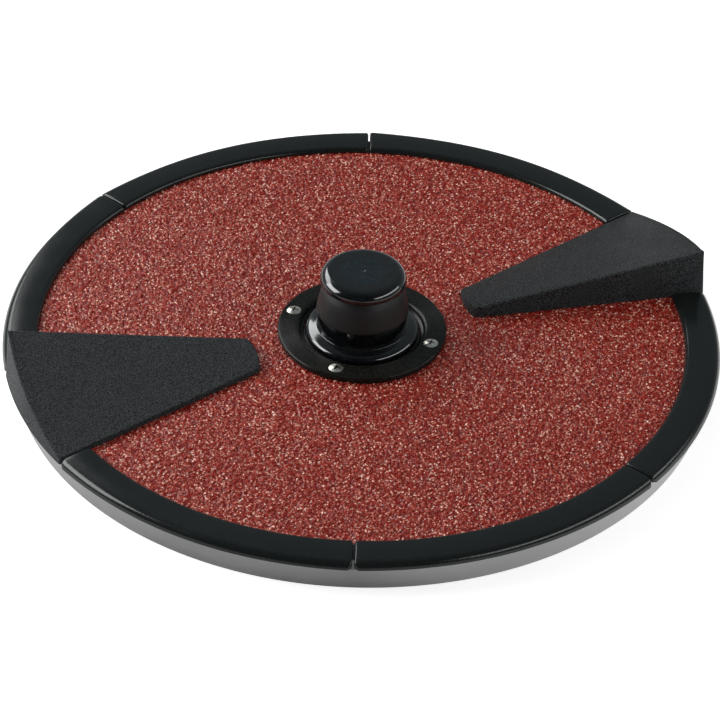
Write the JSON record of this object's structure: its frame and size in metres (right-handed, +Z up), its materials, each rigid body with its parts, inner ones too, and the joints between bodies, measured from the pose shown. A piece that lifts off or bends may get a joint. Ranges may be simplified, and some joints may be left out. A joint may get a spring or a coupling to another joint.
{
  "type": "abrasive peeling plate",
  "caption": "Round abrasive peeling plate for a potato peeler: gritty disc in a skirted plate, segmented rim, ramp-shaped lifting vanes and a central lifting knob that turns freely.",
  "frame": {"origin": "centre of the plane that the skirt stands on, on the axis of rotation", "axes": "+Z up along the axis of rotation, through the knob; +X points at the gap in the rim where the first vane starts, along that vane's leading face; +Y completes a right-handed frame"},
  "size_m": [0.39, 0.39, 0.06],
  "materials": {
    "cast_alloy": "bead-blasted casting with a turned skirt",
    "grit": "dark red bonded grit on a steel disc",
    "rim_plastic": "satin moulding",
    "vane_plastic": "fine-grained moulding",
    "gloss_black": "polished black moulding",
    "bright_steel": "bright nickel",
    "fastener_steel": "stainless",
    "turned_steel": "turned",
    "insert_brass": "machined",
    "bush_bronze": "sintered bronze",
    "seal_rubber": "matte",
    "slide_plastic": "natural nylon"
  },
  "bodies": {
    "plate": {"carrier_plate": "cast_alloy", "skirt_band": "cast_alloy", "abrasive_disc": "grit", "rim_segment_1": "rim_plastic", "rim_segment_2": "rim_plastic", "rim_segment_3": "rim_plastic", "rim_segment_4": "rim_plastic", "rim_segment_5": "rim_plastic", "rim_segment_6": "rim_plastic", "rim_screws": "fastener_steel", "rim_washers": "fastener_steel", "vane_1": "vane_plastic", "vane_2": "vane_plastic", "vane_inserts": "insert_brass", "vane_screws": "fastener_steel", "vane_washers": "fastener_steel", "clamp_ring": "gloss_black", "ring_seal": "seal_rubber", "ring_screws": "bright_steel", "ring_washers": "fastener_steel", "ring_nuts": "fastener_steel", "drive_hub": "turned_steel", "hub_screws": "fastener_steel", "thrust_washer": "slide_plastic", "keeper_washer": "fastener_steel", "keeper_screw": "fastener_steel"},
    "knob": {"lifting_knob": "gloss_black", "knob_cap": "gloss_black", "knob_bush": "bush_bronze"}
  },
  "joints": [
    {"name": "knob_turn", "type": "hinge", "parent": "plate", "child": "knob", "pos_m": [0, 0, 0.03], "axis": [0, 0, 1], "continuous": true}
  ]
}
